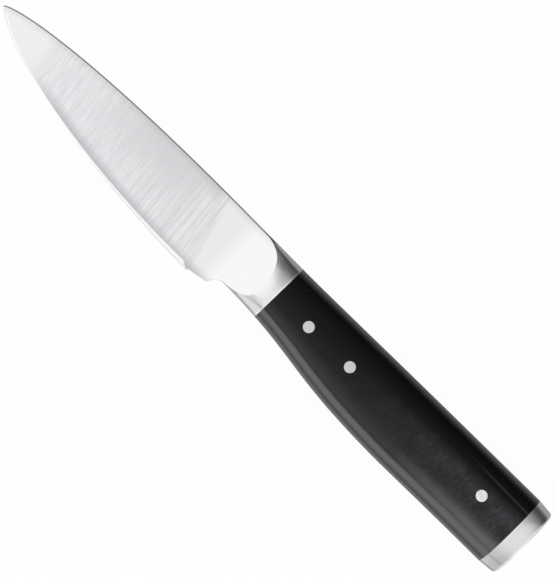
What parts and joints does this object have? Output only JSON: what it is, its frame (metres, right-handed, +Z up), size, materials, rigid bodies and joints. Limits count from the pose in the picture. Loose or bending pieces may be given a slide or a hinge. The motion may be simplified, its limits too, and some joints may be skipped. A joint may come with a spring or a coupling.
{
  "type": "paring knife",
  "caption": "Paring knife with a tapered steel blade, bolster and full tang, riveted black handle scales and a flush steel end cap, for peeling and small cuts.",
  "frame": {"origin": "Centre of the bottom of the knife's bounding box, with the knife lying on its right side, so z = 0 touches the crest of the right scale.", "axes": "+X from the tip to the butt, +Y from the cutting edge to the spine, +Z up, out of the left side."},
  "size_m": [0.1994, 0.0252, 0.0136],
  "materials": {
    "blade_steel": "satin ground across the blade",
    "scale_plastic": "satin black, finely sanded",
    "cap_steel": "brushed round the handle",
    "rivet_steel": "ground flush"
  },
  "bodies": {
    "root": {"blade_with_tang": "blade_steel", "left_scale": "scale_plastic", "right_scale": "scale_plastic", "end_cap": "cap_steel", "front_rivet_sleeve": "rivet_steel", "front_rivet_pin": "rivet_steel", "middle_rivet_sleeve": "rivet_steel", "middle_rivet_pin": "rivet_steel", "rear_rivet_sleeve": "rivet_steel", "rear_rivet_pin": "rivet_steel"}
  },
  "joints": []
}
